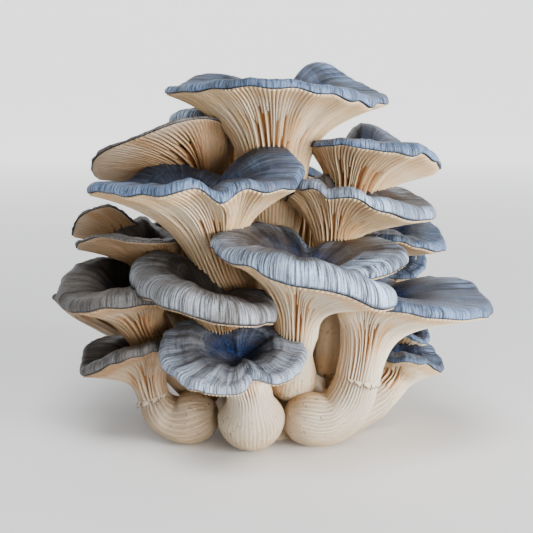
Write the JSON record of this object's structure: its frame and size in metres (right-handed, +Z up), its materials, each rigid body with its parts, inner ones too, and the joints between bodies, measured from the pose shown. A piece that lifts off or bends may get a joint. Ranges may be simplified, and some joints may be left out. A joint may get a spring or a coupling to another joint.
{
  "type": "oyster mushroom cluster",
  "caption": "Natural cluster of blue-grey oyster mushrooms: wavy funnel caps over cream gills and thick stems that grow from one shared base, standing upright.",
  "frame": {"origin": "middle of the flat underside that the cluster stands on", "axes": "+Z up, -Y towards the side that the picture shows, +X to its right"},
  "size_m": [0.2107, 0.2152, 0.179],
  "materials": {
    "cap_skin": "soft matte blue-grey skin with fine streaks that run out to the margin",
    "gill_flesh": "matte cream flesh with warm tan between the gills",
    "base_flesh": "matte cream flesh"
  },
  "bodies": {
    "root": {"base": "base_flesh", "front_cap": "cap_skin", "front_stem": "gill_flesh", "centre_cap": "cap_skin", "centre_stem": "gill_flesh", "rolled_left_cap": "cap_skin", "rolled_left_stem": "gill_flesh", "right_shelf_cap": "cap_skin", "right_shelf_stem": "gill_flesh", "left_shelf_cap": "cap_skin", "left_shelf_stem": "gill_flesh", "crown_cap": "cap_skin", "crown_stem": "gill_flesh", "right_middle_cap": "cap_skin", "right_middle_stem": "gill_flesh", "left_dark_cap": "cap_skin", "left_dark_stem": "gill_flesh", "lower_left_cap": "cap_skin", "lower_left_stem": "gill_flesh", "upper_left_cap": "cap_skin", "upper_left_stem": "gill_flesh", "upper_right_cap": "cap_skin", "upper_right_stem": "gill_flesh", "left_middle_cap": "cap_skin", "left_middle_stem": "gill_flesh", "right_blue_cap": "cap_skin", "right_blue_stem": "gill_flesh", "lower_right_cap": "cap_skin", "lower_right_stem": "gill_flesh", "left_back_cap": "cap_skin", "left_back_stem": "gill_flesh", "left_tip_cap": "cap_skin", "left_tip_stem": "gill_flesh", "left_hook_cap": "cap_skin", "left_hook_stem": "gill_flesh", "right_small_cap": "cap_skin", "right_small_stem": "gill_flesh", "right_behind_cap": "cap_skin", "right_behind_stem": "gill_flesh", "back_high_cap": "cap_skin", "back_high_stem": "gill_flesh", "back_left_high_cap": "cap_skin", "back_left_high_stem": "gill_flesh", "back_right_high_cap": "cap_skin", "back_right_high_stem": "gill_flesh", "back_left_cap": "cap_skin", "back_left_stem": "gill_flesh", "back_right_cap": "cap_skin", "back_right_stem": "gill_flesh", "back_left_middle_cap": "cap_skin", "back_left_middle_stem": "gill_flesh", "back_right_middle_cap": "cap_skin", "back_right_middle_stem": "gill_flesh", "back_left_low_cap": "cap_skin", "back_left_low_stem": "gill_flesh", "back_right_low_cap": "cap_skin", "back_right_low_stem": "gill_flesh", "back_low_cap": "cap_skin", "back_low_stem": "gill_flesh"}
  },
  "joints": []
}
